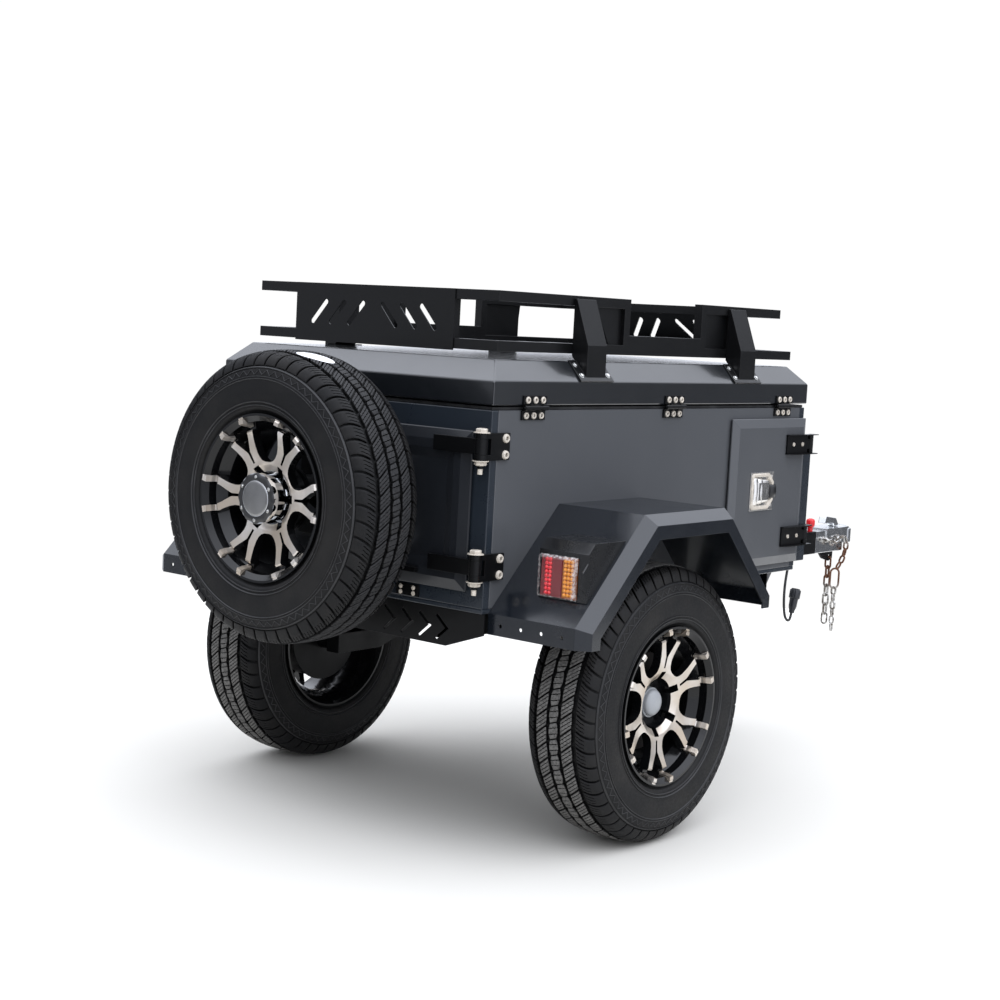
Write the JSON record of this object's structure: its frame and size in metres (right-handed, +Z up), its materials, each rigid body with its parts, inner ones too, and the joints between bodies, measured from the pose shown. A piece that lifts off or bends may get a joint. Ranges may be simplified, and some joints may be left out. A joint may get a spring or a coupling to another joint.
{
  "type": "off-road box camping trailer",
  "caption": "Compact single-axle camping trailer with a hinged hard top, roof rack, side doors, rear door that carries a spare wheel, drawbar and jockey jack.",
  "frame": {"origin": "middle of the trailer's outline on the ground, below the mid-length point", "axes": "+X the trailer's right side, +Y forward to the coupling, +Z up"},
  "size_m": [1.524, 2.997, 1.398],
  "materials": {
    "tyre": "matte",
    "rim_paint": "black with machined faces",
    "cast_drum": "rough",
    "frame_black": "satin black",
    "galvanised": "galvanised",
    "fender_slate": "semi-gloss",
    "lens_red": "gloss",
    "lens_amber": "gloss",
    "body_grey": "semi-gloss",
    "seal_rubber": "matte",
    "steel_bright": "brushed",
    "lid_black": "satin",
    "rack_black": "matte textured",
    "jack_rubber": "matte",
    "cable_rubber": "matte",
    "plug_plastic": "matte"
  },
  "bodies": {
    "chassis": {"frame_rails": "frame_black", "cross_members": "frame_black", "drawbar": "frame_black", "drawbar_braces": "frame_black", "coupling_gusset": "frame_black", "coupling_body": "galvanised", "coupling_handle": "galvanised", "suspension_tubes": "frame_black", "trailing_arms": "frame_black", "stub_axles": "frame_black", "fender_right": "fender_slate", "fender_left": "fender_slate", "lamp_hoods": "fender_slate", "tail_lenses_red": "lens_red", "tail_lenses_amber": "lens_amber", "tub_floor": "body_grey", "tub_side_right": "body_grey", "tub_side_left": "body_grey", "tub_rear": "body_grey", "tub_front": "body_grey", "rear_skirt": "frame_black", "lid_seal": "seal_rubber", "side_hinge_brackets": "frame_black", "rear_hinge_brackets": "frame_black", "rear_latch_keeper": "frame_black", "lid_hinge_lower": "frame_black", "jack_sleeve": "galvanised", "chain": "galvanised", "cable_gland": "seal_rubber", "cable": "cable_rubber", "plug": "plug_plastic"},
    "wheel_right": {"tyre_right": "tyre", "rim_right": "rim_paint", "brake_drum_right": "cast_drum"},
    "wheel_left": {"tyre_left": "tyre", "rim_left": "rim_paint", "brake_drum_left": "cast_drum"},
    "lid": {"lid_shell": "lid_black", "lid_hinge_upper": "frame_black", "rack_frame": "rack_black", "rack_panels": "rack_black", "rack_floor": "rack_black", "rack_brackets": "rack_black"},
    "rear_door": {"rear_door": "body_grey", "spare_carrier": "frame_black", "rear_latch": "frame_black", "rear_hinge_straps": "frame_black", "tyre_spare": "tyre", "rim_spare": "rim_paint"},
    "side_door_right": {"side_door_right": "body_grey", "side_latch_right": "steel_bright", "side_hinge_straps_right": "frame_black"},
    "side_door_left": {"side_door_left": "body_grey", "side_latch_left": "steel_bright", "side_hinge_straps_left": "frame_black"},
    "jack_leg": {"jack_leg": "galvanised"},
    "jack_wheel": {"jack_wheel": "jack_rubber"}
  },
  "joints": [
    {"name": "wheel_right_spin", "type": "hinge", "parent": "chassis", "child": "wheel_right", "pos_m": [0.593, -0.6735, 0.363], "axis": [1, 0, 0], "continuous": true},
    {"name": "wheel_left_spin", "type": "hinge", "parent": "chassis", "child": "wheel_left", "pos_m": [-0.593, -0.6735, 0.363], "axis": [1, 0, 0], "continuous": true},
    {"name": "lid_hinge", "type": "hinge", "parent": "chassis", "child": "lid", "pos_m": [0.477, -0.6735, 1.116], "axis": [0, 1, 0], "range_deg": [0, 72]},
    {"name": "rear_door_hinge", "type": "hinge", "parent": "chassis", "child": "rear_door", "pos_m": [0.456, -1.2005, 0.864], "axis": [0, 0, 1], "range_deg": [0, 100]},
    {"name": "side_door_right_hinge", "type": "hinge", "parent": "chassis", "child": "side_door_right", "pos_m": [0.487, 0.3255, 0.864], "axis": [0, 0, 1], "range_deg": [0, 110]},
    {"name": "side_door_left_hinge", "type": "hinge", "parent": "chassis", "child": "side_door_left", "pos_m": [-0.487, 0.3255, 0.864], "axis": [0, 0, -1], "range_deg": [0, 110]},
    {"name": "jack_slide", "type": "slide", "parent": "chassis", "child": "jack_leg", "axis": [0, 0, 1], "range_m": [0, 0.23]},
    {"name": "jack_wheel_spin", "type": "hinge", "parent": "jack_leg", "child": "jack_wheel", "pos_m": [-0.104, 0.5325, 0.1], "axis": [1, 0, 0], "continuous": true}
  ]
}
